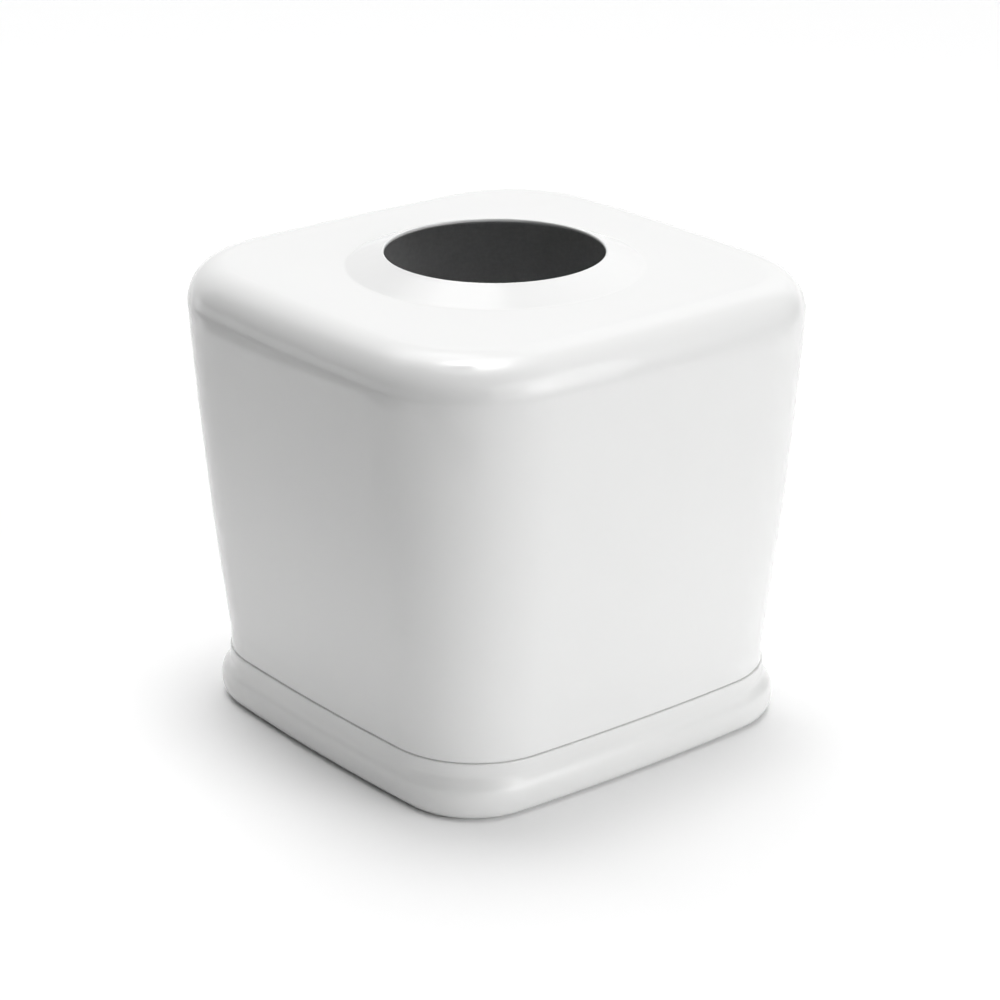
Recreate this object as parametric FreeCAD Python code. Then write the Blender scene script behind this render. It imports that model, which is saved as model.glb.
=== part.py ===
import FreeCAD, Part
import math
import os
from FreeCAD import Vector

# Square cover for a cube box of tissues, in millimetres, +Z up.
# A drawn sheet-steel cover, open at the bottom, is pressed onto a moulded base ring.
# The origin is on the table, under the middle of the cover.

# ---- driving dimensions -------------------------------------------------------------------
overall_height = 146.0        # table to the crest of the dispensing collar
collar_rise = 4.3             # crest of the collar above the flat top
seam_z = 17.4                 # lower edge of the cover, on the base ring's ledge

sheet = 0.7                   # steel thickness
rim_half = 68.1               # cover's half width at its lower edge, mid-side
rim_band = 5.2                # lower edge to the height where the walls start to flare
rim_blend = 42.0              # hollow round between the upright rim and the flaring wall
shoulder_half = 77.7          # half width where the top round begins, mid-side
shoulder_corner = 39.2        # corner radius there
shoulder_side = 851.0         # radius of the bowed sides there
wall_belly = 0.9              # outward bow of the flaring wall, at its middle
top_round = 12.1              # round between the walls and the flat top
edge_break = 0.45             # bevel on the cover's lower edge and on the ring's ledge

hole_radius = 32.9            # dispensing hole, inside the turned lip
collar_slope = 21.2           # degrees, the cone around the hole
collar_foot_round = 3.0       # hollow round where the cone leaves the flat top
lip_round = 0.5               # outer radius of the turned lip
lip_depth = 1.15              # crest of the collar to the lip's cut edge
collar_land = 2.0             # flat ring around the cone

bead_out = 1.7                # base ring's bead beyond the cover's lower edge, mid-side
bead_squarer = 4.1            # how much tighter the bead's corners are than the cover's
bead_side = 758.0             # radius of the bead's bowed sides
bead_reach = 3.9              # how far the bead curls in towards the table
bead_z = 6.5                  # height of the widest line of the bead
bead_rise = 6.0               # height of the bead's upper half
bead_shoulder = 41.0          # degrees up the bead where the cove begins
neck_band = 2.8               # upright neck under the seam

deck_z = 12.5                 # top of the ring inside the spigot
deck_width = 8.0              # spigot to the way in for the box, mid-side
opening_corner = 2.0          # the way in takes a sharp-cornered box
opening_side = 2000.0
opening_lead = 1.0            # bevel that leads the box in
spigot_clearance = 0.2        # spigot to the inside of the cover
spigot_wall = 1.8
spigot_height = 6.5           # above the ledge
spigot_lead = 0.6             # bevel on the spigot's top edge
rib_radius = 1.2              # half-round ribs that grip the inside of the cover
rib_clearance = 0.05
rib_pitch = 32.0
ribs_per_side = 3

foot_wall = 1.6               # wall between the pockets and the ring's outer foot
inner_wall = 1.6              # wall between the pockets and the opening
pocket_depth = 10.0
web = 1.5                     # wall between two pockets
web_pitch = 20.0
pockets_per_side = 4

# Rounds are made of narrow straight bands, each within about 0.2 mm of the true round.
BELLY_BANDS = 2
CROWN_BANDS = 6
UNDER_CROWN_BANDS = 4
LIP_BANDS = 1
BEAD_BANDS = 4
BEAD_SHOULDER_BANDS = 2
COVE_BANDS = 2

flat_top_z = overall_height - collar_rise
SPARE = 5.0                   # overrun of a cutting tool past the face it cuts
UP = Vector(0, 0, 1)


def blend(low, high, share):
    """Value at a share of the way from low to high."""
    return low + (high - low) * share


# ---- plan outline -------------------------------------------------------------------------
class Plan:
    """A square with bowed sides and round corners: half width mid-side, corner and side radius."""

    def __init__(self, half, corner, side):
        self.half, self.corner, self.side = half, corner, side
        # A side arc's centre is lead behind the middle. A corner's centre is on the diagonal,
        # where its arc is tangent to both side arcs, and turn is half a side's angle.
        self.lead = side - half
        self.centre = (math.sqrt(2 * (side - corner) ** 2 - self.lead ** 2) - self.lead) / 2
        self.turn = math.atan2(self.centre, self.centre + self.lead)

    def inset(self, depth):
        return Plan(self.half - depth, self.corner - depth, self.side - depth)

    def on_side(self, angle, z=0.0):
        return Vector(self.side * math.cos(angle) - self.lead, self.side * math.sin(angle), z)

    def on_corner(self, angle, z=0.0):
        return Vector(self.centre + self.corner * math.cos(angle),
                      self.centre + self.corner * math.sin(angle), z)

    def wire(self, z):
        """Closed outline at height z."""
        turn, diagonal, square = self.turn, math.pi / 4, math.pi / 2
        side = Part.Arc(self.on_side(-turn, z), self.on_side(0, z), self.on_side(turn, z))
        corner = Part.Arc(self.on_corner(turn, z), self.on_corner(diagonal, z),
                          self.on_corner(square - turn, z))
        return Part.Wire([curve.toShape().rotated(Vector(), UP, 90 * quarter)
                          for quarter in range(4) for curve in (side, corner)])

    def prism(self, low_z, high_z):
        """Solid inside the outline between two heights."""
        return Part.Face(self.wire(low_z)).extrude(Vector(0, 0, high_z - low_z))


def ruled_block(levels):
    """Solid through (plan, height) levels, ruled from each to the next."""
    return Part.makeLoft([plan.wire(z) for plan, z in levels], True, True)


# ---- sections in the XZ plane -------------------------------------------------------------
def around(centre, radius, degrees):
    """Point on a circle."""
    angle = math.radians(degrees)
    return centre + Vector(radius * math.cos(angle), 0, radius * math.sin(angle))


def bands(centre, radius, start, end, count):
    """Points that part an arc into equal bands."""
    return [around(centre, radius, blend(start, end, step / count)) for step in range(count + 1)]


def bearing(start, end):
    """Direction from one point to another, in degrees."""
    return math.degrees(math.atan2(end.z - start.z, end.x - start.x))


def closed_section(points):
    """Face inside a closed line through the points."""
    return Part.Face(Part.makePolygon(points + points[:1]))


# ---- cover --------------------------------------------------------------------------------
shoulder_plan = Plan(shoulder_half, shoulder_corner, shoulder_side)
rim_plan = shoulder_plan.inset(shoulder_half - rim_half)


def wall_block(depth, crown_bands, low_levels):
    """Solid inside the sheet's outer face, or depth below it, from the given low levels up."""
    low = Vector(rim_half, 0, seam_z + rim_band)
    high = Vector(shoulder_half, 0, flat_top_z - top_round)
    chord = high - low
    belly_radius = (chord.Length ** 2 / 4 + wall_belly ** 2) / (2 * wall_belly)
    inward = Vector(-chord.z, 0, chord.x) / chord.Length
    belly = (low + high) / 2 + inward * (belly_radius - wall_belly)
    # The blend touches the upright rim and the belly; the crown's round touches belly and top.
    blend_x = rim_half + rim_blend
    blend_z = belly.z - math.sqrt((belly_radius + rim_blend) ** 2 - (blend_x - belly.x) ** 2)
    crown_z = flat_top_z - top_round
    crown_x = belly.x + math.sqrt((belly_radius - top_round) ** 2 - (crown_z - belly.z) ** 2)
    crown = Vector(crown_x, 0, crown_z)
    belly_start, belly_end = bearing(belly, Vector(blend_x, 0, blend_z)), bearing(belly, crown)

    points = bands(belly, belly_radius - depth, belly_start, belly_end, BELLY_BANDS)
    points += bands(crown, top_round - depth, belly_end, 90, crown_bands)[1:]
    levels = [(shoulder_plan.inset(shoulder_half - point.x), point.z) for point in points]
    return ruled_block(low_levels + [(rim_plan.inset(depth), blend_z)] + levels)


def collar():
    """Cone around the dispensing hole, its lip turned down into the hole, and its land's radius."""
    slope = math.radians(collar_slope)
    cone_angle = 90 - collar_slope
    lip = Vector(hole_radius + lip_round, 0, overall_height - lip_round)
    # The straight cone climbs from the foot's round to the lip's round.
    climb = lip.z + lip_round * math.cos(slope)
    climb -= flat_top_z + collar_foot_round * (1 - math.cos(slope))
    foot_x = lip.x + (lip_round + collar_foot_round) * math.sin(slope) + climb / math.tan(slope)
    foot = Vector(foot_x, 0, flat_top_z + collar_foot_round)
    land_radius = foot.x + collar_land
    cut = Vector(hole_radius, 0, overall_height - lip_depth)

    outer = [Vector(land_radius, 0, flat_top_z)]
    outer += bands(foot, collar_foot_round, -90, cone_angle - 180, 1)
    outer += [around(lip, lip_round, cone_angle)]
    outer += bands(lip, lip_round, 90, 180, LIP_BANDS) + [cut]
    # The sheet's inner face is the same cone, mitred into the lip and into the land.
    cone = around(lip, lip_round - sheet, cone_angle)
    under_z = flat_top_z - sheet
    inner = [cut + Vector(sheet, 0, 0),
             Vector(cut.x + sheet, 0, cone.z + (cone.x - cut.x - sheet) * math.tan(slope)),
             Vector(cone.x + (cone.z - under_z) / math.tan(slope), 0, under_z),
             Vector(land_radius, 0, under_z)]
    return closed_section(outer + inner).revolve(Vector(), UP, 360), land_radius


def make_cover():
    outer = wall_block(0, CROWN_BANDS,
                       [(rim_plan.inset(edge_break), seam_z), (rim_plan, seam_z + edge_break)])
    inner = wall_block(sheet, UNDER_CROWN_BANDS, [(rim_plan.inset(sheet), seam_z)])
    ring, land_radius = collar()
    hole = Part.makeCylinder(land_radius, sheet + 2 * SPARE, Vector(0, 0, flat_top_z - sheet - SPARE))
    return outer.cut([inner, hole]).fuse(ring).removeSplitter()


# ---- base ring ----------------------------------------------------------------------------
bead_plan = Plan(rim_half + bead_out, rim_plan.corner - bead_squarer, bead_side)
foot_plan = bead_plan.inset(bead_reach)
spigot_plan = rim_plan.inset(sheet + spigot_clearance)
well_plan = spigot_plan.inset(spigot_wall)
opening_plan = Plan(well_plan.half - deck_width, opening_corner, opening_side)


def bead_level(degrees):
    """Level of the bead, by the angle from its widest line: -90 is on the table."""
    angle = math.radians(degrees)
    span = bead_rise if degrees > 0 else bead_z
    return bead_plan.inset(bead_reach * (1 - math.cos(angle))), bead_z + span * math.sin(angle)


def cove_level(share):
    """Level of the cove, eased from the bead's shoulder to the foot of the neck."""
    shoulder, shoulder_z = bead_level(bead_shoulder)
    ease = share ** 2 * (3 - 2 * share)
    plan = Plan(blend(shoulder.half, rim_plan.half, ease),
                blend(shoulder.corner, rim_plan.corner, ease),
                blend(shoulder.side, rim_plan.side, ease))
    return plan, blend(shoulder_z, seam_z - neck_band, share)


def ring_block():
    """The ring's outer form: bead, cove, neck, and the ledge that the cover stands on."""
    levels = [bead_level(blend(-90, 0, step / BEAD_BANDS)) for step in range(BEAD_BANDS + 1)]
    levels += [bead_level(bead_shoulder * (step + 1) / BEAD_SHOULDER_BANDS)
               for step in range(BEAD_SHOULDER_BANDS)]
    levels += [cove_level((step + 1) / COVE_BANDS) for step in range(COVE_BANDS)]
    levels += [(rim_plan, seam_z - edge_break), (rim_plan.inset(edge_break), seam_z)]
    return ruled_block(levels)


def spigot_block():
    """The upstand that the cover is pressed over, still solid, with its ribs."""
    top_z = seam_z + spigot_height
    block = ruled_block([(spigot_plan, deck_z), (spigot_plan, top_z - spigot_lead),
                         (spigot_plan.inset(spigot_lead), top_z)])
    ribs = []
    rib_plan = rim_plan.inset(sheet + rib_clearance + rib_radius)
    for number in range(ribs_per_side):
        offset = (number - (ribs_per_side - 1) / 2) * rib_pitch
        place = rib_plan.on_side(math.asin(offset / rib_plan.side), seam_z)
        rib = Part.makeCylinder(rib_radius, rim_band - spigot_lead, place)
        ribs += [rib.rotated(Vector(), UP, 90 * quarter) for quarter in range(4)]
    return block.fuse(ribs)


def way_in():
    """Cutting tool for the box's way through the ring, flared where the box goes in."""
    return ruled_block([(opening_plan.inset(-2 * opening_lead), -opening_lead),
                        (opening_plan, opening_lead), (opening_plan, deck_z + SPARE)])


def pockets():
    """Core-outs along each side of the ring's underside, parted by webs. The corners stay solid."""
    band = foot_plan.inset(foot_wall).prism(-SPARE, pocket_depth)
    band = band.cut(opening_plan.inset(-inner_wall).prism(-SPARE, pocket_depth))
    cell = Part.makeBox(2 * rim_half, web_pitch - web, pocket_depth + SPARE,
                        Vector(0, (web - web_pitch) / 2, -SPARE))
    first = -(pockets_per_side - 1) / 2
    cells = [cell.translated(Vector(0, (first + number) * web_pitch, 0)).rotated(Vector(), UP, turn)
             for number in range(pockets_per_side) for turn in (0, 90, 180, 270)]
    return [band.common(one) for one in cells]


def make_base_ring():
    well = well_plan.prism(deck_z, seam_z + spigot_height + SPARE)
    return ring_block().fuse(spigot_block()).cut([well, way_in()] + pockets()).removeSplitter()


# ---- output -------------------------------------------------------------------------------
def main():
    os.makedirs("parts", exist_ok=True)
    for name, shape in (("cover", make_cover()), ("base_ring", make_base_ring())):
        if not shape.isValid() or len(shape.Solids) != 1:
            raise RuntimeError(name + " is not one sound solid")
        shape.Solids[0].exportStep("parts/" + name + ".step")
        print(name, round(shape.Volume), "mm3,", len(shape.Faces), "faces")


main()
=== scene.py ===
import math
from collections import namedtuple

import bpy
from bpy.props import FloatProperty, FloatVectorProperty, IntProperty, PointerProperty
from bpy.types import Operator, Panel, PropertyGroup
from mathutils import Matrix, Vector


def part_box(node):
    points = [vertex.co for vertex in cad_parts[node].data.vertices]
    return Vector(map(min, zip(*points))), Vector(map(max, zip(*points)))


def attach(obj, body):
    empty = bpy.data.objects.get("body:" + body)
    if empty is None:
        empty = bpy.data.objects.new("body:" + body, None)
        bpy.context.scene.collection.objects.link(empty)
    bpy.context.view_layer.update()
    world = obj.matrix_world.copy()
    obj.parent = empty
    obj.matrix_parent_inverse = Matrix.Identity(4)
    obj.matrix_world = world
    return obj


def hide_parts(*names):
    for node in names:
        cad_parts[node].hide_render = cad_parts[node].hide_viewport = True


bl_info = {
    "name": "Tissue box holder",
    "version": (1, 0, 0),
    "blender": (4, 5, 0),
    "location": "3D View > Sidebar > Tissue box",
    "description": "Enamelled tissue box cover on its moulded base ring, in a plain studio",
    "category": "Add Mesh",
}

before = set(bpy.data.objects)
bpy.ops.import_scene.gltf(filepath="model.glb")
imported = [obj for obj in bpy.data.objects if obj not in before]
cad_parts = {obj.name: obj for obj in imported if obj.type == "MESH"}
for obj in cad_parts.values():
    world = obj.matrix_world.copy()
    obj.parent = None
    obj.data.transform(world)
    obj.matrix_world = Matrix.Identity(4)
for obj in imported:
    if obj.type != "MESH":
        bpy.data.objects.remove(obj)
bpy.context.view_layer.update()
COVER_LOW, COVER_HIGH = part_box("cover")
RING_LOW, RING_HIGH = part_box("base_ring")

MM = 0.001
STATIONS = 80                 # round a quarter of the plan
SIDE_SHARE = 0.3              # of those, along the side's gentle bow
WELD = 1e-6                   # metres, closes the swept grids
SHARP = math.radians(35)      # edges that turn more than this are shaded sharp
QUARTER = math.pi / 2         # a quarter turn


# ---- sizes and colours --------------------------------------------------------------------
def length(name, description, millimetres):
    """A length that a user may change."""
    return FloatProperty(name=name, description=description, default=millimetres * MM,
                         subtype="DISTANCE", unit="LENGTH", precision=5)


def degrees(name, description, value):
    """An angle that a user may change."""
    return FloatProperty(name=name, description=description, default=math.radians(value),
                         subtype="ANGLE")


def colour(name, description, value):
    """A colour that a user may change."""
    return FloatVectorProperty(name=name, description=description, default=value,
                               subtype="COLOR", size=3, min=0, max=1)


class CoverSettings(PropertyGroup):
    sheet: length("Sheet", "Thickness of the steel with its enamel", 0.7)
    rim_half: length("Rim half width", "Half width at the lower edge, mid-side", 68.1)
    rim_band: length("Rim band", "Upright band above the lower edge", 5.2)
    rim_blend: length("Rim blend", "Hollow round where the wall starts to flare", 42.0)
    corner: length("Corner", "Plan radius of the corners at the shoulder", 39.2)
    side: length("Side bow", "Plan radius of the bowed sides at the shoulder", 851.0)
    belly: length("Belly", "Outward bow of the flaring wall at its middle", 0.9)
    top_round: length("Top round", "Round between the walls and the flat top", 12.1)
    collar_rise: length("Collar rise", "Crest of the collar above the flat top", 4.3)
    collar_slope: degrees("Collar slope", "Slope of the collar's cone", 21.2)
    foot_round: length("Collar foot", "Hollow round where the cone leaves the flat top", 3.0)
    hole_radius: length("Hole radius", "Dispensing hole inside the turned lip", 32.9)
    lip_round: length("Lip round", "Outer radius of the turned lip", 0.5)
    edge_round: length("Edge round", "Outer round on the cover's lower edge", 0.6)
    lip_depth: length("Lip depth", "Crest of the collar to the lip's cut edge", 1.15)
    enamel: colour("Enamel", "White gloss enamel outside", (0.83, 0.832, 0.828))
    ground: colour("Ground coat", "Grey ground coat inside", (0.6, 0.602, 0.605))


class RingSettings(PropertyGroup):
    bead_squarer: length("Squarer corners", "How much tighter the bead's corners are", 4.1)
    bead_side: length("Side bow", "Plan radius of the bead's bowed sides", 758.0)
    bead_reach: length("Bead reach", "How far the bead curls in towards the table", 3.9)
    bead_z: length("Bead height", "Height of the widest line of the bead", 6.5)
    bead_rise: length("Bead rise", "Height of the bead's upper half", 6.0)
    bead_shoulder: degrees("Bead shoulder", "Where the cove begins, above the widest line", 30)
    neck_step: length("Neck step", "How far the neck stands out under the cover's edge", 0.4)
    ledge_round: length("Ledge round", "Round on the neck's top edge, under the seam", 0.35)
    seam_gap: length("Seam gap", "Shadow gap of the seam", 0.06)
    deck_z: length("Deck height", "Top of the ring inside the upstand", 12.5)
    deck_width: length("Deck width", "Upstand to the way in, mid-side", 8.0)
    opening_corner: length("Opening corner", "Corner radius of the way in", 2.0)
    opening_side: length("Opening bow", "Plan radius of the way in's sides", 2000.0)
    opening_lead: length("Opening lead", "Bevel that leads the box in", 1.0)
    spigot_clearance: length("Upstand clearance", "Upstand to the inside of the cover", 0.2)
    spigot_wall: length("Upstand wall", "Wall of the upstand", 1.8)
    spigot_lead: length("Upstand lead", "Bevel on the upstand's top edge", 0.6)
    rib_radius: length("Rib radius", "Half-round ribs that grip the cover", 1.2)
    rib_clearance: length("Rib clearance", "Ribs to the inside of the cover", 0.05)
    rib_pitch: length("Rib pitch", "From one rib to the next", 32.0)
    ribs_per_side: IntProperty(name="Ribs a side", description="Grip ribs on each side",
                               default=3, min=1, max=5)
    foot_wall: length("Foot wall", "Wall outside the pockets", 1.6)
    inner_wall: length("Inner wall", "Wall between the pockets and the way in", 1.6)
    pocket_depth: length("Pocket depth", "Depth of the core-outs", 10.0)
    web: length("Web", "Wall between two pockets", 1.5)
    web_pitch: length("Web pitch", "From one pocket to the next", 20.0)
    pockets_per_side: IntProperty(name="Pockets a side", description="Core-outs on each side",
                                  default=4, min=1, max=6)
    plastic: colour("Plastic", "White moulded plastic", (0.815, 0.817, 0.812))


class StageSettings(PropertyGroup):
    distance: length("Camera distance", "From the middle of the cover", 912.86)
    azimuth: degrees("Camera azimuth", "Round the cover from the front", -38.9)
    elevation: degrees("Camera elevation", "Above the middle of the cover", 21.256)
    pitch: degrees("Camera pitch", "Downward tilt of the view", 21.528)
    yaw: degrees("Camera yaw", "Turn of the view away from the axis", -0.103)
    lens: FloatProperty(name="Lens", description="Focal length on a 36 mm sensor",
                        default=107.57, min=10, max=300, unit="CAMERA")
    floor: colour("Floor", "Pale floor", (0.94, 0.94, 0.94))
    floor_left: length("Floor left", "Left edge of the floor beside the object", 343.0)
    floor_slant: degrees("Floor slant", "How far the floor's side edges open to its back", 16.8)
    floor_right: length("Floor right", "Right edge of the floor, from the middle", 320.0)
    floor_front: length("Floor front", "Front edge of the floor, from the middle", 287.0)
    floor_back: length("Floor back", "Back edge of the floor, from the middle", 1500.0)


# ---- node trees ---------------------------------------------------------------------------
class Value:
    """A node's output socket. Arithmetic on it adds Math nodes to its tree."""

    def __init__(self, nodes, socket):
        self.nodes = nodes
        self.socket = socket

    def maths(self, operation, *others):
        """Math node on this value and others."""
        return self.nodes.add("ShaderNodeMath", {"operation": operation}, self, *others)

    def other(self, name):
        """Another output of the same node."""
        return Value(self.nodes, self.socket.node.outputs[name])

    def __add__(self, value):
        return self.maths("ADD", value)

    def __sub__(self, value):
        return self.maths("SUBTRACT", value)

    def __mul__(self, value):
        return self.maths("MULTIPLY", value)

    def __truediv__(self, value):
        return self.maths("DIVIDE", value)

    def __neg__(self):
        return self.maths("MULTIPLY", -1)

    def __lt__(self, value):
        return self.maths("LESS_THAN", value)

    def __gt__(self, value):
        return self.maths("GREATER_THAN", value)

    def __mod__(self, value):
        return self.maths("MODULO", value)

    def __rsub__(self, value):
        return -self + value

    def __rtruediv__(self, value):
        return self.maths("POWER", -1) * value

    __radd__ = __add__
    __rmul__ = __mul__

    def floor(self):
        return self.maths("FLOOR")

    def root(self):
        return self.maths("SQRT")

    def sine(self):
        return self.maths("SINE")

    def cosine(self):
        return self.maths("COSINE")

    def ramp(self, low, high):
        """0 at low, 1 at high, eased between."""
        settings = {"interpolation_type": "SMOOTHSTEP"}
        return self.nodes.add("ShaderNodeMapRange", settings, self, low, high, 0.0, 1.0)


class Nodes:
    """Empties a node tree and adds nodes to it."""

    def __init__(self, tree):
        self.tree = tree
        tree.nodes.clear()

    def add(self, kind, settings=None, *inputs, **named):
        """A node's first live output, or the node itself where it has none.

        Its settings are set first. Values or links then go to its sockets, in order or by name.
        """
        node = self.tree.nodes.new(kind)
        for name, value in (settings or {}).items():
            setattr(node, name, value)
        for socket, value in zip([s for s in node.inputs if s.enabled], inputs):
            self.feed(socket, value)
        for name, value in named.items():
            self.feed(node.inputs[name.replace("_", " ")], value)
        live = [socket for socket in node.outputs if socket.enabled]
        return Value(self, live[0]) if live else node

    def feed(self, socket, value):
        """Links a Value to a socket, or sets the socket's own value."""
        if isinstance(value, Value):
            self.tree.links.new(value.socket, socket)
        elif value is not None:
            socket.default_value = value

    def mix(self, share, low, high):
        """Number between two numbers."""
        return (high - low) * share + low

    def blend(self, share, low, high):
        """Colour between two colours."""
        return self.add("ShaderNodeMix", {"data_type": "RGBA"}, share, low, high)

    def vector(self, x, y, z):
        """Vector of three numbers."""
        return self.add("ShaderNodeCombineXYZ", None, x, y, z)

    def split(self, vector):
        """The three numbers of a vector."""
        x = self.add("ShaderNodeSeparateXYZ", None, vector)
        return x, x.other("Y"), x.other("Z")


# ---- plans and sections -------------------------------------------------------------------
class Plan:
    """A square with bowed sides and round corners: half width mid-side, corner and side radius."""

    def __init__(self, half, corner, side):
        self.half = half
        self.corner = corner
        self.side = side

    def inset(self, depth):
        """Plan that runs inside this one, everywhere as far."""
        return Plan(self.half - depth, self.corner - depth, self.side - depth)

    def towards(self, other, share):
        """Plan part of the way to another."""
        return Plan(mixed(self.half, other.half, share), mixed(self.corner, other.corner, share),
                    mixed(self.side, other.side, share))


def mixed(low, high, share):
    """Number part of the way from one to another."""
    return low + (high - low) * share


def eased(share):
    """Share that starts and ends gently."""
    return share * share * (3 - 2 * share)


def shares(count):
    """Even shares from 0 to 1, without the 0."""
    return [(step + 1) / count for step in range(count)]


# A point of a section: its level's plan and height, the radius of a circle and how far the level
# takes that shape, and whether it lies inside the part.
Point = namedtuple("Point", "plan z radius roundness inside")


class Section:
    """Closed line of points, which is swept round their plans."""

    def __init__(self):
        self.points = []

    def add(self, plan, z, radius=None, roundness=0.0, inside=0.0):
        """Adds a point. At a roundness of 1 its level is the circle, and at 0 its plan."""
        self.points.append(Point(plan, z, radius or plan.half, roundness, inside))

    def arc(self, place, start, end, count, skip=0):
        """Points at even angles. Place takes an angle and adds one point."""
        for step in range(skip, count + 1):
            place(mixed(start, end, step / count))

    def to_object(self, name):
        """Object of loose points that carries the section's values as attributes."""
        mesh = bpy.data.meshes.new(name)
        mesh.from_pydata([(point.plan.half, 0, point.z) for point in self.points], [], [])
        columns = {"corner": [point.plan.corner for point in self.points],
                   "side": [point.plan.side for point in self.points],
                   "radius": [point.radius for point in self.points],
                   "roundness": [point.roundness for point in self.points],
                   "inside": [point.inside for point in self.points]}
        for column, values in columns.items():
            mesh.attributes.new(column, "FLOAT", "POINT").data.foreach_set("value", values)
        return link(bpy.data.objects.new(name, mesh))


def link(obj):
    """Puts an object in the scene."""
    bpy.context.scene.collection.objects.link(obj)
    return obj


def remove(obj):
    """Deletes a helper object and its mesh."""
    mesh = obj.data
    bpy.data.objects.remove(obj)
    bpy.data.meshes.remove(mesh)


# ---- geometry tree: a section swept round the plan ----------------------------------------
def plan_point(nodes, share, half, corner, side):
    """X and Y on a plan's outline, a share of the way round one quarter of it."""
    # The side's arc has its centre at -lead on X. The corner's centre lies at X = Y = centre.
    lead = side - half
    reach = side - corner
    centre = ((reach * reach * 2 - lead * lead).root() - lead) * 0.5
    turn = centre.maths("ARCTAN2", centre + lead)
    along = share / SIDE_SHARE
    around = (share - SIDE_SHARE) / (1 - SIDE_SHARE)
    side_angle = (along * 2 - 1) * turn
    corner_angle = nodes.mix(around, turn, QUARTER - turn)
    on_side = share < SIDE_SHARE
    side_x = side_angle.cosine() * side - lead
    corner_x = corner_angle.cosine() * corner + centre
    side_y = side_angle.sine() * side
    corner_y = corner_angle.sine() * corner + centre
    return nodes.mix(on_side, corner_x, side_x), nodes.mix(on_side, corner_y, side_y)


def declare(tree, **inputs):
    """Gives a geometry tree its mesh in and out and its named inputs, each of the kind given."""
    sockets = tree.interface
    sockets.new_socket("Geometry", in_out="INPUT", socket_type="NodeSocketGeometry")
    for name, kind in inputs.items():
        sockets.new_socket(name.replace("_", " "), in_out="INPUT", socket_type="NodeSocket" + kind)
    sockets.new_socket("Geometry", in_out="OUTPUT", socket_type="NodeSocketGeometry")


def sweep_tree(name):
    """Geometry tree that carries a section of points round a square plan and closes it."""
    tree = bpy.data.node_groups.new(name, "GeometryNodeTree")
    nodes = Nodes(tree)
    declare(tree, Section="Object", Stations="Int", Section_points="Int", Material="Material")
    group = nodes.add("NodeGroupInput")
    stations = group.other("Stations")
    points = group.other("Section points")
    section = nodes.add("GeometryNodeObjectInfo", {"transform_space": "ORIGINAL"},
                        group.other("Section")).other("Geometry")
    grid = nodes.add("GeometryNodeMeshGrid", None, 1.0, 1.0, stations * 4 + 1, points + 1)

    index = nodes.add("GeometryNodeInputIndex")
    # The grid's points run up one station after another. A part of a step is added before each
    # floor, so that no rounding drops a whole number to the one below.
    column = (index / (points + 1) + 0.5 / (points + 2)).floor()
    row = (index - column * (points + 1)) % points
    quarter = (column / stations + 1e-4).floor()
    share = (column - quarter * stations) / stations

    def sampled(kind, field):
        return nodes.add("GeometryNodeSampleIndex", {"data_type": kind, "domain": "POINT"},
                         section, field, Index=row)

    def column_value(column_name):
        field = nodes.add("GeometryNodeInputNamedAttribute", {"data_type": "FLOAT"}, column_name)
        return sampled("FLOAT", field)

    place = sampled("FLOAT_VECTOR", nodes.add("GeometryNodeInputPosition"))
    half, _, height = nodes.split(place)
    x, y = plan_point(nodes, share, half, column_value("corner"), column_value("side"))
    angle = y.maths("ARCTAN2", x)
    radius = column_value("radius")
    roundness = column_value("roundness")
    x = nodes.mix(roundness, x, angle.cosine() * radius)
    y = nodes.mix(roundness, y, angle.sine() * radius)
    turned = nodes.add("ShaderNodeVectorRotate", {"rotation_type": "Z_AXIS"},
                       Vector=nodes.vector(x, y, height), Angle=quarter * QUARTER)
    moved = nodes.add("GeometryNodeSetPosition", None, grid, Position=turned)
    named = nodes.add("GeometryNodeStoreNamedAttribute", {"data_type": "FLOAT", "domain": "POINT"},
                      moved, Name="inside", Value=column_value("inside"))
    whole = nodes.add("GeometryNodeMergeByDistance", None, named, Distance=WELD)
    smooth = nodes.add("GeometryNodeSetShadeSmooth", None, whole)
    solid = nodes.add("GeometryNodeRealizeInstances", None, smooth)
    finished = nodes.add("GeometryNodeSetMaterial", None, solid,
                         Material=group.other("Material"))
    nodes.add("NodeGroupOutput", None, finished)
    return tree


def swept(name, section, material):
    """Plain mesh object of a section swept round its plans."""
    helper = section.to_object(name + "_section")
    carrier = link(bpy.data.objects.new(name + "_carrier", bpy.data.meshes.new(name + "_carrier")))
    values = {"Section": helper, "Stations": STATIONS, "Section points": len(section.points),
              "Material": material}
    obj = worked(name, carrier, sweep_tree(name + "_sweep"), values)
    remove(carrier)
    remove(helper)
    return obj


def worked(name, source, tree, values):
    """New object with the mesh that a geometry tree makes of the source, and no modifiers."""
    modifier = source.modifiers.new(tree.name, "NODES")
    modifier.node_group = tree
    for item in tree.interface.items_tree:
        if item.in_out == "INPUT" and item.name in values:
            modifier[item.identifier] = values[item.name]
    bpy.context.view_layer.update()
    evaluated = source.evaluated_get(bpy.context.evaluated_depsgraph_get())
    mesh = bpy.data.meshes.new_from_object(evaluated)
    mesh.name = name
    mesh.set_sharp_from_angle(angle=SHARP)
    finishes = [finish for finish in mesh.materials if finish]
    mesh.materials.clear()
    for finish in finishes:
        mesh.materials.append(finish)
    return link(bpy.data.objects.new(name, mesh))


# ---- cover --------------------------------------------------------------------------------
# Steps of the cover's section along each stretch, from the lower edge to the lip's cut edge.
EDGE_STEPS = 5
BAND_STEPS = 4
BLEND_STEPS = 8
BELLY_STEPS = 24
CROWN_STEPS = 28
FLAT_STEPS = 12
FOOT_STEPS = 8
CONE_STEPS = 8
LIP_STEPS = 16
CUT_STEPS = 4
COLLAR_LAND = 0.2             # flat kept outside the collar, as a share of its foot's round


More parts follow.
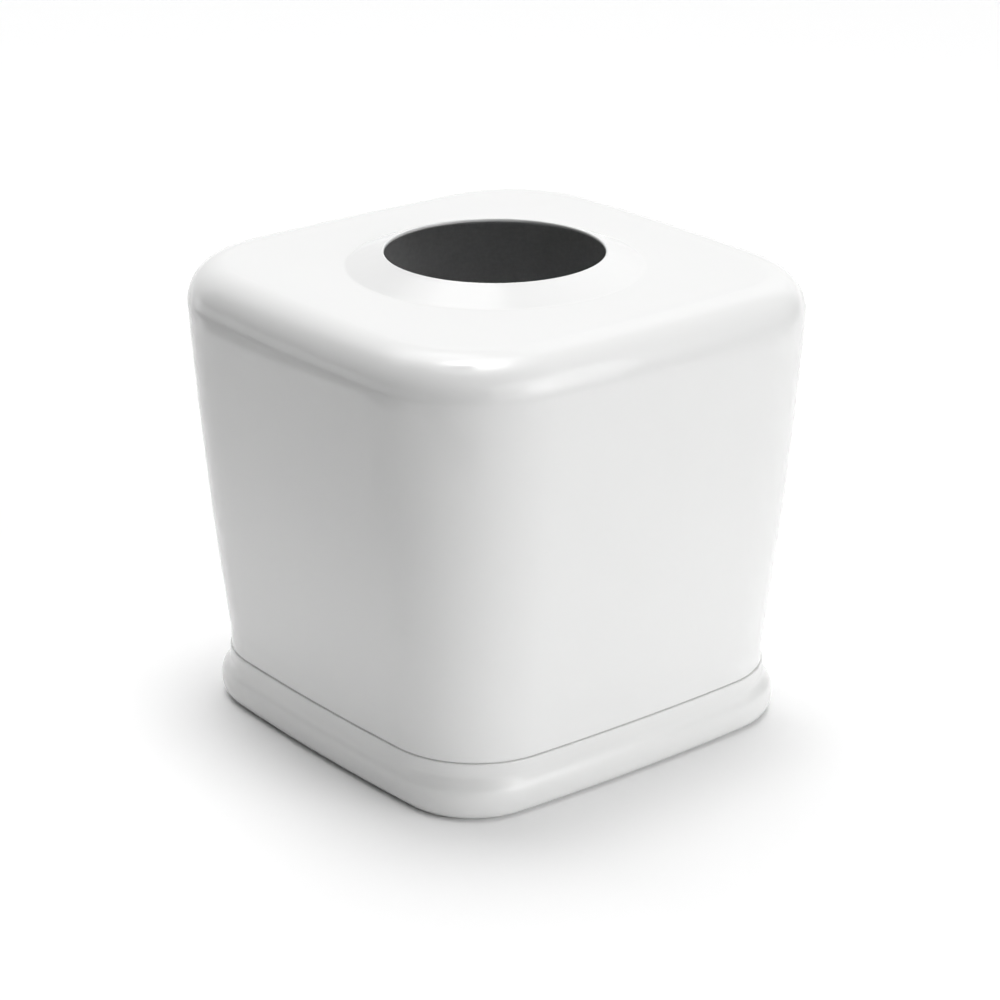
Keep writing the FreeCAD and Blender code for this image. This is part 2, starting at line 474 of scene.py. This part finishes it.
class CoverShape:
    """Section of the cover, worked out from its settings and the frame's box."""

    def __init__(self, sizes):
        self.sizes = sizes
        self.low_z = COVER_LOW.z
        self.crest_z = COVER_HIGH.z
        self.flat_z = self.crest_z - sizes.collar_rise
        self.widest = COVER_HIGH.x
        self.shoulder = Plan(self.widest, sizes.corner, sizes.side)
        self.find_wall()
        self.find_collar()

    def find_wall(self):
        """Centres of the belly, of the crown's round and of the rim's blend."""
        sizes = self.sizes
        self.crown = Vector((self.widest - sizes.top_round, self.flat_z - sizes.top_round))
        low = Vector((sizes.rim_half, self.low_z + sizes.rim_band))
        chord = Vector((self.widest, self.crown.y)) - low
        self.belly_radius = (chord.length_squared / 4 + sizes.belly ** 2) / (2 * sizes.belly)
        inward = Vector((-chord.y, chord.x)).normalized()
        middle = low + chord / 2 + inward * (self.belly_radius - sizes.belly)
        # The belly passes through the low point and is tangent to the crown's round.
        away = self.crown - low
        span = self.belly_radius - sizes.top_round
        reach = away.length
        along = (self.belly_radius ** 2 - span ** 2 + reach ** 2) / (2 * reach)
        aside = math.sqrt(self.belly_radius ** 2 - along ** 2)
        unit = away.normalized()
        self.belly = low + unit * along + Vector((-unit.y, unit.x)) * aside
        if (self.belly - middle).length > self.belly_radius / 4:
            raise RuntimeError("the belly's centre lies on the wrong side of the wall")
        # The blend leaves the upright band at its top and touches the belly from outside.
        blend_x = sizes.rim_half + sizes.rim_blend
        span = self.belly_radius + sizes.rim_blend
        self.band_top = self.belly.y - math.sqrt(span ** 2 - (blend_x - self.belly.x) ** 2)
        self.blend = Vector((blend_x, self.band_top))
        self.belly_start = bearing(self.belly, self.blend)
        self.belly_end = bearing(self.belly, self.crown)

    def find_collar(self):
        """Centres of the lip's round and of the cone's foot round."""
        sizes = self.sizes
        slope = sizes.collar_slope
        self.lip = Vector((sizes.hole_radius + sizes.lip_round, self.crest_z - sizes.lip_round))
        climb = self.lip.y + sizes.lip_round * math.cos(slope)
        climb -= self.flat_z + sizes.foot_round * (1 - math.cos(slope))
        foot_x = self.lip.x + (sizes.lip_round + sizes.foot_round) * math.sin(slope)
        self.foot = Vector((foot_x + climb / math.tan(slope), self.flat_z + sizes.foot_round))

    def face(self, depth, inside):
        """Points up one face of the sheet, from its lower edge to the lip's cut edge."""
        sizes = self.sizes
        section = Section()

        def wall(x, z):
            section.add(self.shoulder.inset(self.widest - x), z, inside=inside)

        edge = sizes.sheet - sizes.edge_round if depth else sizes.edge_round
        centre = Vector((sizes.rim_half - sizes.edge_round, self.low_z + edge))
        section.arc(on_arc(wall, centre, edge), -QUARTER, -math.pi if depth else 0, EDGE_STEPS)
        for share in shares(BAND_STEPS):
            wall(sizes.rim_half - depth, mixed(self.low_z + edge, self.band_top, share))
        blend_end = self.belly_start - math.pi
        section.arc(on_arc(wall, self.blend, sizes.rim_blend + depth),
                    math.pi, blend_end % (2 * math.pi), BLEND_STEPS, skip=1)
        section.arc(on_arc(wall, self.belly, self.belly_radius - depth),
                    self.belly_start, self.belly_end, BELLY_STEPS, skip=1)
        section.arc(on_arc(wall, self.crown, sizes.top_round - depth),
                    self.belly_end, QUARTER, CROWN_STEPS, skip=1)
        self.add_top(section, depth, inside)
        return section.points

    def add_top(self, section, depth, inside):
        """Flat top, cone and turned lip. The plan turns round across the flat."""
        sizes = self.sizes
        slope = sizes.collar_slope
        flat = self.shoulder.inset(self.widest - self.crown.x)
        land = self.foot.x + sizes.foot_round * COLLAR_LAND

        def ring(x, z):
            section.add(flat, z, x, 1.0, inside)

        for share in shares(FLAT_STEPS):
            section.add(flat, self.flat_z - depth, land, share, inside)
        section.arc(on_arc(ring, self.foot, sizes.foot_round + depth),
                    -QUARTER, -QUARTER - slope, FOOT_STEPS)
        cone_top = self.lip + Vector((math.sin(slope), math.cos(slope))) * (sizes.lip_round - depth)
        x = sizes.hole_radius + depth
        if depth:
            # Under the sheet the cone meets the lip in a mitre.
            cone_top = Vector((x, cone_top.y + (cone_top.x - x) * math.tan(slope)))
        cone_foot = section.points[-1]
        for share in shares(CONE_STEPS):
            ring(mixed(cone_foot.radius, cone_top.x, share), mixed(cone_foot.z, cone_top.y, share))
        if not depth:
            section.arc(on_arc(ring, self.lip, sizes.lip_round), QUARTER - slope, math.pi,
                        LIP_STEPS, skip=1)
        # The cut edge is a half round. Each face takes its half, short of the lowest point.
        edge = sizes.sheet / 2
        cut_z = self.crest_z - sizes.lip_depth + edge
        ring(x, cut_z)
        for share in shares(CUT_STEPS)[:-1]:
            angle = mixed(0, QUARTER, share)
            shift = edge * math.cos(angle)
            ring(sizes.hole_radius + edge + (shift if depth else -shift),
                 cut_z - edge * math.sin(angle))

    def section(self):
        """Closed section: up the outside, over the lip and down the inside."""
        whole = Section()
        outer = self.face(0.0, 0.0)
        inner = self.face(self.sizes.sheet, 1.0)
        whole.points = outer + inner[::-1]
        return whole


def on_arc(place, centre, radius):
    """Function that takes an angle and places the point there on an arc."""
    return lambda angle: place(centre.x + radius * math.cos(angle),
                               centre.y + radius * math.sin(angle))


def bearing(start, end):
    """Direction from one point of a section to another."""
    return math.atan2(end.y - start.y, end.x - start.x)


# ---- base ring ----------------------------------------------------------------------------
# Steps of the ring's section along each stretch.
BEAD_STEPS = 24               # below the widest line
SHOULDER_STEPS = 12           # above it, up to the cove
COVE_STEPS = 12
ROUND_STEPS = 4               # on each small round
LEVEL_STEPS = 6               # across the deck, and across the underside

INNER_ROUND = 0.3 * MM        # on the edges inside the seam
DECK_FILLET = 2 * INNER_ROUND   # where the upstand meets the deck
RIB_FACETS = 24               # round a whole rib
BELOW_TABLE = 1 * MM          # how far below the table the pockets' band starts
CELL_REACH = 0.2              # metres, from the middle past the ring's outside
STRAIGHT = 1000.0             # metres, bow of a row of pockets that is as good as straight


class RingShape:
    """Section of the base ring, worked out from its settings, the cover's and the frame's box."""

    def __init__(self, sizes, cover):
        self.sizes = sizes
        self.cover = cover
        self.seam_z = COVER_LOW.z
        self.top_z = RING_HIGH.z
        shape = CoverShape(cover)
        self.rim = shape.shoulder.inset(shape.widest - cover.rim_half)
        self.bead = Plan(RING_HIGH.x, self.rim.corner - sizes.bead_squarer, sizes.bead_side)
        self.foot = self.bead.inset(sizes.bead_reach)
        self.neck = self.rim.inset(-sizes.neck_step)
        self.spigot = self.rim.inset(cover.sheet + sizes.spigot_clearance)
        self.well = self.spigot.inset(sizes.spigot_wall)
        self.opening = Plan(self.well.half - sizes.deck_width, sizes.opening_corner,
                            sizes.opening_side)

    def bead_level(self, angle):
        """Plan and height of the bead, by the angle from its widest line."""
        sizes = self.sizes
        span = sizes.bead_rise if angle > 0 else sizes.bead_z
        return (self.bead.inset(sizes.bead_reach * (1 - math.cos(angle))),
                sizes.bead_z + span * math.sin(angle))

    def section(self):
        """Closed section: up the outside to the seam, over the upstand and down the way in."""
        section = Section()
        self.add_bead(section)
        self.add_upstand(section)
        self.add_inside(section)
        return section

    def add_bead(self, section):
        """Bead from its foot to its shoulder, then the cove and the neck up to the seam."""
        sizes = self.sizes

        def bead(angle):
            section.add(*self.bead_level(angle))

        section.arc(bead, -QUARTER, 0, BEAD_STEPS)
        section.arc(bead, 0, sizes.bead_shoulder, SHOULDER_STEPS, skip=1)
        # The cove leaves the shoulder along the bead and ends upright under the seam.
        shoulder, shoulder_z = self.bead_level(sizes.bead_shoulder)
        gap = shoulder.half - self.neck.half
        slope = sizes.bead_reach / sizes.bead_rise * math.tan(sizes.bead_shoulder)
        neck_z = shoulder_z + 2 * gap / slope
        for share in shares(COVE_STEPS):
            level = shoulder.inset(gap * share * (2 - share))
            section.add(level.towards(self.neck, eased(share)), mixed(shoulder_z, neck_z, share))
        ledge = sizes.ledge_round
        ledge_z = self.seam_z - sizes.seam_gap
        section.add(self.neck, mixed(neck_z, ledge_z - ledge, 0.5))
        rounded(section, self.neck.inset(ledge), ledge_z - ledge, ledge, 0, QUARTER)
        # The cover's edge stands on the ledge's inner part. Its outer part lies a little lower.
        seat = self.rim.inset(self.cover.edge_round)
        section.add(seat.inset(-sizes.seam_gap / 4), ledge_z)
        section.add(seat, self.seam_z)

    def add_upstand(self, section):
        """Upstand inside the cover's wall, from the ledge over its top down to the deck."""
        sizes = self.sizes
        lead = sizes.spigot_lead
        section.add(self.spigot, self.seam_z)
        section.add(self.spigot, mixed(self.seam_z, self.top_z, 0.5))
        rounded(section, self.spigot.inset(lead), self.top_z - lead, lead, 0, QUARTER)
        rounded(section, self.well.inset(-INNER_ROUND), self.top_z - INNER_ROUND, INNER_ROUND,
                QUARTER, math.pi)
        section.add(self.well, mixed(sizes.deck_z, self.top_z, 0.5))
        rounded(section, self.well.inset(DECK_FILLET), sizes.deck_z + DECK_FILLET, DECK_FILLET,
                0, -QUARTER)

    def add_inside(self, section):
        """Deck, the way in with its bevel, and the underside back to the bead's foot."""
        sizes = self.sizes
        lead = sizes.opening_lead
        lip = self.opening.inset(-INNER_ROUND)
        deck = self.well.inset(DECK_FILLET)
        for share in shares(LEVEL_STEPS)[:-1]:
            section.add(deck.towards(lip, share), sizes.deck_z)
        rounded(section, lip, sizes.deck_z - INNER_ROUND, INNER_ROUND, QUARTER, math.pi)
        # One more level above the bevel keeps the faces of the way in even.
        section.add(self.opening, lead * 4)
        section.add(self.opening, lead)
        flared = self.opening.inset(-lead)
        section.add(self.opening.towards(flared, 0.5), lead / 2)
        section.add(flared, 0)
        for share in shares(LEVEL_STEPS)[:-1]:
            section.add(flared.towards(self.foot, share), 0)


def rounded(section, centre_plan, z, radius, start, end):
    """Small round on an edge. The plan and z give its centre."""
    section.arc(lambda angle: section.add(centre_plan.inset(-radius * math.cos(angle)),
                                          z + radius * math.sin(angle)),
                start, end, ROUND_STEPS)


def pocket_band(shape):
    """Section of the band that the pockets are cut from, with room below the table."""
    sizes = shape.sizes
    outer = shape.foot.inset(sizes.foot_wall)
    inner = shape.opening.inset(-sizes.inner_wall)
    section = Section()
    for plan, z in ((inner, -BELOW_TABLE), (outer, -BELOW_TABLE), (outer, sizes.pocket_depth),
                    (inner, sizes.pocket_depth)):
        section.add(plan, z)
    return section


def repeated(nodes, tool, count, pitch, reach, bow, height):
    """Copies of a tool along four bowed sides, which stand so far out at their middles."""
    index = nodes.add("GeometryNodeInputIndex")
    y = (index - (count - 1) * 0.5) * pitch
    x = (bow * bow - y * y).root() - bow + reach
    line = nodes.add("GeometryNodeMeshLine", None, Count=count)
    places = nodes.add("GeometryNodeSetPosition", None, line, Position=nodes.vector(x, y, height))
    side = nodes.add("GeometryNodeInstanceOnPoints", None, places, Instance=tool)
    middle = nodes.add("GeometryNodeMeshLine", None, Count=4, Offset=(0, 0, 0))
    turn = nodes.vector(0.0, 0.0, index * QUARTER)
    sides = nodes.add("GeometryNodeInstanceOnPoints", None, middle, Instance=side, Rotation=turn)
    return nodes.add("GeometryNodeRealizeInstances", None, sides)


def boolean(nodes, operation, first, second):
    """Exact boolean of two solids."""
    settings = {"operation": operation, "solver": "EXACT"}
    if operation == "DIFFERENCE":
        return nodes.add("GeometryNodeMeshBoolean", settings, Mesh_1=first, Mesh_2=second)
    # A union and an intersection take all their solids at one socket.
    result = nodes.add("GeometryNodeMeshBoolean", settings, Mesh_2=first)
    nodes.feed(result.socket.node.inputs["Mesh 2"], second)
    return result


def detail_tree(name):
    """Geometry tree that cores the ring's underside and adds the ribs on its upstand."""
    tree = bpy.data.node_groups.new(name, "GeometryNodeTree")
    nodes = Nodes(tree)
    declare(tree, Band="Object", Material="Material", Pockets="Int", Pocket_pitch="Float",
            Pocket_width="Float", Pocket_depth="Float", Ribs="Int", Rib_pitch="Float",
            Rib_radius="Float", Rib_reach="Float", Rib_bow="Float", Rib_foot="Float",
            Rib_height="Float")
    ring = nodes.add("NodeGroupInput")
    band = nodes.add("GeometryNodeObjectInfo", {"transform_space": "ORIGINAL"},
                     ring.other("Band")).other("Geometry")
    # Half of a cell stands below the table. The band gives the pockets their depth.
    width, depth = ring.other("Pocket width"), ring.other("Pocket depth")
    cell = nodes.add("GeometryNodeMeshCube", None, nodes.vector(CELL_REACH, width, depth * 4))
    cells = repeated(nodes, cell, ring.other("Pockets"), ring.other("Pocket pitch"),
                     CELL_REACH / 2, STRAIGHT, 0.0)
    cored = boolean(nodes, "DIFFERENCE", ring, boolean(nodes, "INTERSECT", band, cells))
    height = ring.other("Rib height")
    rib = nodes.add("GeometryNodeMeshCylinder", None, Vertices=RIB_FACETS,
                    Radius=ring.other("Rib radius"), Depth=height)
    ribs = repeated(nodes, rib, ring.other("Ribs"), ring.other("Rib pitch"),
                    ring.other("Rib reach"), ring.other("Rib bow"),
                    ring.other("Rib foot") + height * 0.5)
    whole = boolean(nodes, "UNION", cored, ribs)
    solid = nodes.add("GeometryNodeRealizeInstances", None, whole)
    finished = nodes.add("GeometryNodeSetMaterial", None, solid, Material=ring.other("Material"))
    nodes.add("NodeGroupOutput", None, finished)
    return tree


def detailed(name, ring, shape, material):
    """The swept ring with its pockets and its ribs, as a plain mesh object."""
    sizes = shape.sizes
    rib_depth = shape.cover.sheet + sizes.rib_clearance + sizes.rib_radius
    rib_plan = shape.rim.inset(rib_depth)
    band = swept(name + "_band", pocket_band(shape), material)
    tree = detail_tree(name + "_details")
    values = {"Band": band, "Material": material,
              "Pockets": sizes.pockets_per_side, "Pocket pitch": sizes.web_pitch,
              "Pocket width": sizes.web_pitch - sizes.web, "Pocket depth": sizes.pocket_depth,
              "Ribs": sizes.ribs_per_side, "Rib pitch": sizes.rib_pitch,
              "Rib radius": sizes.rib_radius, "Rib reach": rib_plan.half, "Rib bow": rib_plan.side,
              "Rib foot": shape.seam_z,
              "Rib height": shape.cover.rim_band - sizes.spigot_lead}
    obj = worked(name, ring, tree, values)
    remove(band)
    remove(ring)
    return obj


# ---- materials ----------------------------------------------------------------------------
CLOUD_SHADE = 0.985           # a white finish at its darkest, as a share of its colour
SPECK_SHADES = (0.85, 1.15)   # the ground coat at its darkest and its lightest


def new_material(name):
    """A material, the nodes of its empty tree and the object's own coordinates."""
    material = bpy.data.materials.new(name)
    material.use_nodes = True
    nodes = Nodes(material.node_tree)
    place = nodes.add("ShaderNodeTexCoord").other("Object")
    return material, nodes, place


def noise(nodes, place, size, detail):
    """Noise from 0 to 1 whose lumps are about the given size."""
    return nodes.add("ShaderNodeTexNoise", {"noise_dimensions": "3D"}, Vector=place,
                     Scale=1 / size, Detail=detail)


def tone(value, share=1.0):
    """Opaque colour at a share of its brightness."""
    return (*[part * share for part in value], 1)


def shade(material, nodes, **sockets):
    """Principled shader with the given sockets, as the material's surface."""
    shader = nodes.add("ShaderNodeBsdfPrincipled", None, **sockets)
    nodes.add("ShaderNodeOutputMaterial", None, shader)
    return material


def bump(nodes, height, depth):
    """Normal from a height of 0 to 1, that many metres deep."""
    return nodes.add("ShaderNodeBump", None, Strength=1.0, Distance=depth, Height=height)


def enamel_material(sizes):
    """White gloss enamel outside and the grey ground coat inside, parted at the sheet's edges."""
    material, nodes, place = new_material("stoved_enamel")
    inside = nodes.add("ShaderNodeAttribute", {"attribute_name": "inside"}).other("Fac")
    # The two coats meet along the sheet's cut edges.
    inside = inside.ramp(0.45, 0.55)
    cloud = noise(nodes, place, size=22 * MM, detail=3.0)
    speck = noise(nodes, place, size=1.2 * MM, detail=4.0)
    peel = noise(nodes, place, size=2.6 * MM, detail=1.0)
    spray = noise(nodes, place, size=0.7 * MM, detail=3.0)
    white = nodes.blend(cloud, tone(sizes.enamel, CLOUD_SHADE), tone(sizes.enamel))
    grey = nodes.blend(speck, *(tone(sizes.ground, share) for share in SPECK_SHADES))
    gloss = nodes.mix(cloud, 0.05, 0.08)
    matt = nodes.mix(speck, 0.4, 0.55)
    height = nodes.mix(inside, peel * 0.12, spray)
    return shade(material, nodes, Base_Color=nodes.blend(inside, white, grey),
                 Roughness=nodes.mix(inside, gloss, matt), IOR=1.52,
                 Normal=bump(nodes, height, 0.03 * MM))


def plastic_material(sizes):
    """White gloss moulded plastic."""
    material, nodes, place = new_material("white_moulding")
    cloud = noise(nodes, place, size=30 * MM, detail=2.0)
    grain = noise(nodes, place, size=0.8 * MM, detail=2.0)
    white = nodes.blend(cloud, tone(sizes.plastic, CLOUD_SHADE), tone(sizes.plastic))
    return shade(material, nodes, Base_Color=white, Roughness=nodes.mix(cloud, 0.17, 0.21),
                 IOR=1.5, Normal=bump(nodes, grain, 0.002 * MM))


# ---- the two pieces -----------------------------------------------------------------------
class TISSUE_OT_cover(Operator):
    """Build the enamelled cover with its raised collar and turned lip"""

    bl_idname = "tissue.cover"
    bl_label = "Cover"

    def execute(self, context):
        sizes = context.scene.tissue_cover
        cover = swept("cover_shell", CoverShape(sizes).section(), enamel_material(sizes))
        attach(cover, "root")
        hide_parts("cover")
        return {"FINISHED"}


class TISSUE_OT_base_ring(Operator):
    """Build the moulded base ring"""

    bl_idname = "tissue.base_ring"
    bl_label = "Base ring"

    def execute(self, context):
        sizes = context.scene.tissue_ring
        shape = RingShape(sizes, context.scene.tissue_cover)
        plastic = plastic_material(sizes)
        plain = swept("plain_ring", shape.section(), plastic)
        ring = detailed("ring_moulding", plain, shape, plastic)
        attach(ring, "root")
        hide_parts("base_ring")
        return {"FINISHED"}


# ---- studio -------------------------------------------------------------------------------
def area_light(name, place, target, width, height, power):
    """Rectangular soft light at a place, facing a target."""
    lamp = bpy.data.lights.new(name, "AREA")
    lamp.shape = "RECTANGLE"
    lamp.size = width
    lamp.size_y = height
    lamp.energy = power
    obj = link(bpy.data.objects.new(name, lamp))
    obj.location = place
    obj.rotation_euler = (Vector(target) - Vector(place)).to_track_quat("-Z", "Y").to_euler()


def add_camera(stage):
    """Camera round the cover's middle, with its own tilt and turn."""
    centre = Vector((0, 0, (COVER_HIGH.z - bpy.context.scene.tissue_cover.collar_rise) / 2))
    heading = stage.azimuth - QUARTER
    out = Vector((math.cos(heading), math.sin(heading), 0))
    place = centre + stage.distance * (out * math.cos(stage.elevation)
                                       + Vector((0, 0, math.sin(stage.elevation))))
    turned = heading + stage.yaw
    ahead = -Vector((math.cos(turned), math.sin(turned), 0)) * math.cos(stage.pitch)
    ahead -= Vector((0, 0, math.sin(stage.pitch)))
    lens = bpy.data.cameras.new("camera")
    lens.lens = stage.lens
    lens.sensor_width = 36
    lens.clip_start = 0.01
    lens.clip_end = 50
    camera = link(bpy.data.objects.new("camera", lens))
    camera.location = place
    camera.rotation_euler = ahead.to_track_quat("-Z", "Y").to_euler()
    bpy.context.scene.camera = camera


def add_floor(stage):
    """Plain pale floor that widens towards its back."""
    material, nodes, _ = new_material("pale_floor")
    nodes.add("ShaderNodeOutputMaterial", None,
              nodes.add("ShaderNodeBsdfDiffuse", None, Color=tone(stage.floor)))
    slant = math.tan(stage.floor_slant)
    mesh = bpy.data.meshes.new("floor")
    mesh.from_pydata([(-stage.floor_left + slant * stage.floor_front, -stage.floor_front, 0),
                      (stage.floor_right, -stage.floor_front, 0),
                      (stage.floor_right + slant * stage.floor_back, stage.floor_back, 0),
                      (-stage.floor_left - slant * stage.floor_back, stage.floor_back, 0)],
                     [], [(0, 1, 2, 3)])
    mesh.materials.append(material)
    floor = link(bpy.data.objects.new("floor", mesh))
    floor.rotation_euler.z = stage.azimuth


# Panels of light in the surround: strength, azimuths, elevations, softness and, where the sides
# are softer, their own softness. Angles are in degrees. The camera stands at an azimuth of -129,
# and a top past 90 takes a panel over the zenith.
LIGHT_PANELS = {
    "overhead": (8.5, (-129, 141), (76, 120), 16, 70),
    "round the overhead": (1.2, (-180, 180), (62, 76), 8),
    "high at the back left": (1.1, (51, 141), (45, 62), 12),
    "back wall": (0.9, (10, 110), (-15, 120), 20),
    "right wall": (1.15, (-95, -45), (0, 35), 25),
    "window in the right wall": (1.7, (-84, -58), (0, 23), 9),
    "foot of the left wall": (0.75, (100, 192), (-12, 2), 6),
    "ground on the right": (0.56, (-125, 95), (-60, -5), 12),
    "ground all round": (0.44, (-180, 180), (-120, -20), 20),
}


def light_panel(nodes, strength, azimuths, elevations, softness, side_softness=None):
    """Strength of one panel of light, by the direction in the surround."""
    ahead = nodes.add("ShaderNodeTexCoord").other("Generated")
    low, high = (math.radians(angle) for angle in azimuths)
    bottom, top = (math.radians(angle) for angle in elevations)
    soft = math.radians(softness) / 2
    side_soft = math.radians(side_softness or softness) / 2
    turned = nodes.add("ShaderNodeVectorRotate", {"rotation_type": "Z_AXIS"}, Vector=ahead,
                       Angle=-(low + high) / 2)
    x, y, z = nodes.split(turned)
    aside = y.maths("ARCTAN2", x).maths("ABSOLUTE")
    up = z.maths("ARCSINE")
    half = (high - low) / 2
    share = up.ramp(bottom - soft, bottom + soft) * (-up).ramp(-top - soft, -top + soft)
    if half < math.pi:
        share = share * (-aside).ramp(-half - side_soft, -half + side_soft)
    return share * strength


def add_world():
    """Studio round the object, lit by its panels of light."""
    world = bpy.data.worlds.new("surround")
    world.use_nodes = True
    nodes = Nodes(world.node_tree)
    light, *others = [light_panel(nodes, *values) for values in LIGHT_PANELS.values()]
    for other in others:
        light += other
    nodes.add("ShaderNodeOutputWorld", None,
              nodes.add("ShaderNodeBackground", None, Color=(1, 1, 1, 1), Strength=light))
    bpy.context.scene.world = world


class TISSUE_OT_stage(Operator):
    """Build the floor, the surround, the lights and the camera"""

    bl_idname = "tissue.stage"
    bl_label = "Studio"

    def execute(self, context):
        stage = context.scene.tissue_stage
        add_camera(stage)
        add_floor(stage)
        add_world()
        area_light("key", place=(0.1, -1.15, 0.38), target=(0, 0, 0.07), width=1.4, height=0.9,
                   power=4.9)
        area_light("overhead", place=(0, 0.35, 1.2), target=(0, 0.35, 0), width=0.8, height=0.8,
                   power=1.5)
        context.scene.view_settings.view_transform = "Standard"
        return {"FINISHED"}


# ---- add-on -------------------------------------------------------------------------------
class TISSUE_PT_panel(Panel):
    """Lists the pieces and their settings"""

    bl_idname = "TISSUE_PT_panel"
    bl_label = "Tissue box holder"
    bl_space_type = "VIEW_3D"
    bl_region_type = "UI"
    bl_category = "Tissue box"

    def draw(self, context):
        for operator, settings in ((TISSUE_OT_cover, context.scene.tissue_cover),
                                   (TISSUE_OT_base_ring, context.scene.tissue_ring),
                                   (TISSUE_OT_stage, context.scene.tissue_stage)):
            box = self.layout.box()
            box.operator(operator.bl_idname)
            for name in type(settings).__annotations__:
                box.prop(settings, name)


CLASSES = (CoverSettings, RingSettings, StageSettings, TISSUE_OT_cover, TISSUE_OT_base_ring,
           TISSUE_OT_stage, TISSUE_PT_panel)


def register():
    for each in CLASSES:
        bpy.utils.register_class(each)
    bpy.types.Scene.tissue_cover = PointerProperty(type=CoverSettings)
    bpy.types.Scene.tissue_ring = PointerProperty(type=RingSettings)
    bpy.types.Scene.tissue_stage = PointerProperty(type=StageSettings)


def unregister():
    del bpy.types.Scene.tissue_stage
    del bpy.types.Scene.tissue_ring
    del bpy.types.Scene.tissue_cover
    for each in reversed(CLASSES):
        bpy.utils.unregister_class(each)


def main():
    register()
    bpy.ops.tissue.cover()
    bpy.ops.tissue.base_ring()
    bpy.ops.tissue.stage()


if __name__ == "__main__":
    main()
